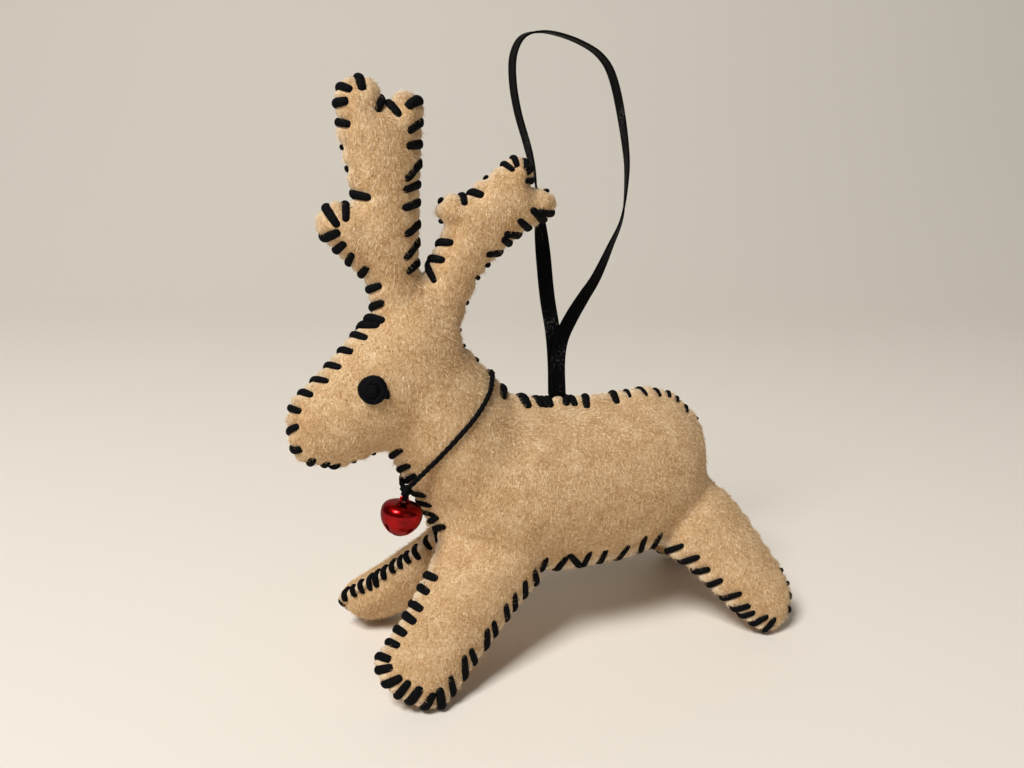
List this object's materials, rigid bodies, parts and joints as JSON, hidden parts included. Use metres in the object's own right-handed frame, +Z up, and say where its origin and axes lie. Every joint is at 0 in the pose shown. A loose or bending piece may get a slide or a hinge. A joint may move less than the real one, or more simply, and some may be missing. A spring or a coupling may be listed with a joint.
{
  "type": "stuffed felt reindeer ornament",
  "caption": "Stuffed felt reindeer ornament with whip-stitched edges, standing on splayed legs, with a jingle bell on a neck cord and a ribbon loop to hang it by.",
  "frame": {"origin": "on the ground under the middle of the figure, half way along its length, in the median plane", "axes": "+Z up, the muzzle points along -X, and -Y is the animal's left side, which faces the picture's viewer"},
  "size_m": [0.0984, 0.042, 0.1148],
  "materials": {
    "felt": "matte",
    "filling": "matte",
    "thread": "matte",
    "ribbon": "satin",
    "cord": "matte",
    "bell": "gloss",
    "ball": "satin"
  },
  "bodies": {
    "reindeer": {"left_side_panel": "felt", "right_side_panel": "felt", "belly_gusset": "felt", "torso_stuffing": "filling", "neck_stuffing": "filling", "head_stuffing": "filling", "left_front_leg_stuffing": "filling", "right_front_leg_stuffing": "filling", "left_hind_leg_stuffing": "filling", "right_hind_leg_stuffing": "filling", "front_antler_stuffing": "filling", "rear_antler_stuffing": "filling", "left_front_leg_thread": "thread", "right_front_leg_thread": "thread", "left_hind_leg_thread": "thread", "right_hind_leg_thread": "thread", "face_thread": "thread", "front_antler_thread": "thread", "rear_antler_thread": "thread", "back_thread": "thread", "rump_thread": "thread", "left_belly_thread": "thread", "right_belly_thread": "thread", "left_eye_knot": "thread", "right_eye_knot": "thread", "ribbon_tail": "ribbon", "ribbon_tack_front": "thread", "ribbon_tack_rear": "thread", "neck_cord": "cord"},
    "ribbon_loop": {"hanging_ribbon": "ribbon"},
    "knot": {"cord_knot": "cord"},
    "bell": {"bell_shell": "bell", "bell_shank": "bell"},
    "ball": {"bell_ball": "ball"}
  },
  "joints": [
    {"name": "ribbon_flop", "type": "hinge", "parent": "reindeer", "child": "ribbon_loop", "pos_m": [0.00259, 0.00065, 0.04899], "axis": [-1, 0, 0], "range_deg": [0, 85], "stiffness_Nm_per_rad": 0.00015, "springref_deg": -5.73},
    {"name": "bell_sideways", "type": "hinge", "parent": "reindeer", "child": "knot", "pos_m": [-0.02861, -0.0036, 0.03554], "axis": [1, 0, 0], "range_deg": [-60, 9]},
    {"name": "bell_swing", "type": "hinge", "parent": "knot", "child": "bell", "pos_m": [-0.02894, -0.0036, 0.03399], "axis": [0, 1, 0], "range_deg": [-3, 63]},
    {"name": "ball_rattle", "type": "slide", "parent": "bell", "child": "ball", "axis": [0.2079, 0, 0.9781], "range_m": [0, 0.0029]}
  ]
}
